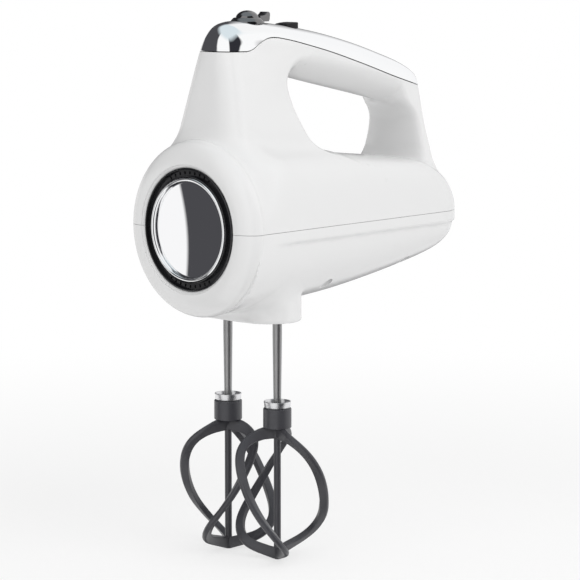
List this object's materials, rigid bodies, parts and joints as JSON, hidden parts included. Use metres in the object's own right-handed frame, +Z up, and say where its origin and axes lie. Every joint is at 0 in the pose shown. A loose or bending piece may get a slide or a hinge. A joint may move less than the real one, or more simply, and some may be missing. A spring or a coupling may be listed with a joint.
{
  "type": "hand mixer",
  "caption": "Electric hand mixer with an open handle, top controls, a round nose disc and helical whisks driven by a worm motor.",
  "frame": {"origin": "centre of the bounding box at the level of the whisk tips", "axes": "+Z up along the beaters, -Y towards the nose, +X to the side of the right beater"},
  "size_m": [0.091, 0.188, 0.286],
  "materials": {
    "white_plastic": "glossy moulded plastic",
    "plated_cover": "bright plated",
    "black_plastic": "glossy",
    "plated_trim": "bright plated",
    "mirror_disc": "mirror bright",
    "dark_plated": "dark plated",
    "whisk_nylon": "satin nylon",
    "stem_steel": "turned",
    "plated_cup": "bright plated",
    "steel": "satin",
    "diecast": "as cast",
    "bronze": "sintered",
    "lamination": "varnished",
    "copper": "enamelled wire",
    "gear_nylon": "moulded",
    "board": "laminate",
    "switch_plastic": "moulded",
    "carbon": "pressed carbon",
    "rubber": "moulded"
  },
  "bodies": {
    "housing": {"upper_housing": "white_plastic", "lower_housing": "white_plastic", "top_cover": "plated_cover", "nose_ring": "black_plastic", "nose_trim_ring": "plated_trim", "nose_disc": "mirror_disc", "eject_spring": "steel", "speed_switch": "switch_plastic", "turbo_switch": "switch_plastic", "circuit_board": "board", "gearbox_frame": "diecast", "gearbox_bridge": "diecast", "gearbox_screws": "steel", "front_bearing": "bronze", "rear_bearing": "bronze", "rear_bracket": "diecast", "stator_core": "lamination", "field_coils": "copper", "brush_holders": "bronze", "carbon_brushes": "carbon", "lower_bushes": "bronze", "upper_bushes": "bronze", "cord_gland": "rubber", "heel_pad": "rubber", "housing_screws": "steel"},
    "ejector": {"eject_button": "dark_plated", "eject_rod": "steel", "eject_bridge": "steel"},
    "selector": {"speed_lever": "dark_plated"},
    "turbo": {"turbo_button": "black_plastic"},
    "armature": {"motor_shaft": "steel", "cooling_fan": "gear_nylon", "armature_core": "lamination", "armature_winding": "copper", "commutator": "copper"},
    "drive_right": {"worm_wheel_right": "gear_nylon", "spindle_right": "steel", "detent_clip_right": "steel"},
    "drive_left": {"worm_wheel_left": "gear_nylon", "spindle_left": "steel", "detent_clip_left": "steel"},
    "beater_right": {"stem_right": "stem_steel", "cup_right": "plated_cup", "whisk_right": "whisk_nylon"},
    "beater_left": {"stem_left": "stem_steel", "cup_left": "plated_cup", "whisk_left": "whisk_nylon"}
  },
  "joints": [
    {"name": "eject_press", "type": "slide", "parent": "housing", "child": "ejector", "axis": [0, 0, -1], "range_m": [0, 0.006], "stiffness_N_per_m": 600, "springref_m": -0.006, "deforming": ["eject_spring"]},
    {"name": "speed_turn", "type": "hinge", "parent": "housing", "child": "selector", "pos_m": [0, -0.0495, 0.279], "axis": [0, 0, 1], "range_deg": [0, 50]},
    {"name": "turbo_press", "type": "slide", "parent": "housing", "child": "turbo", "axis": [0, 0, -1], "range_m": [0, 0.002], "stiffness_N_per_m": 400, "springref_m": -0.002},
    {"name": "motor_spin", "type": "hinge", "parent": "housing", "child": "armature", "pos_m": [0, 0, 0.176], "axis": [0, 1, 0], "continuous": true},
    {"name": "drive_spin_right", "type": "hinge", "parent": "housing", "child": "drive_right", "pos_m": [0.018, -0.0462, 0.176], "axis": [0, 0, 1], "continuous": true},
    {"name": "drive_spin_left", "type": "hinge", "parent": "housing", "child": "drive_left", "pos_m": [-0.018, -0.0462, 0.176], "axis": [0, 0, 1], "continuous": true},
    {"name": "beater_drop_right", "type": "slide", "parent": "drive_right", "child": "beater_right", "axis": [0, 0, -1], "range_m": [0, 0.006]},
    {"name": "beater_drop_left", "type": "slide", "parent": "drive_left", "child": "beater_left", "axis": [0, 0, -1], "range_m": [0, 0.006]}
  ],
  "couplings": [
    {"joint": "drive_spin_right", "follows": "motor_spin", "ratio": 0.041667},
    {"joint": "drive_spin_left", "follows": "motor_spin", "ratio": -0.041667},
    {"joint": "beater_drop_right", "follows": "eject_press", "ratio": 1},
    {"joint": "beater_drop_left", "follows": "eject_press", "ratio": 1}
  ]
}
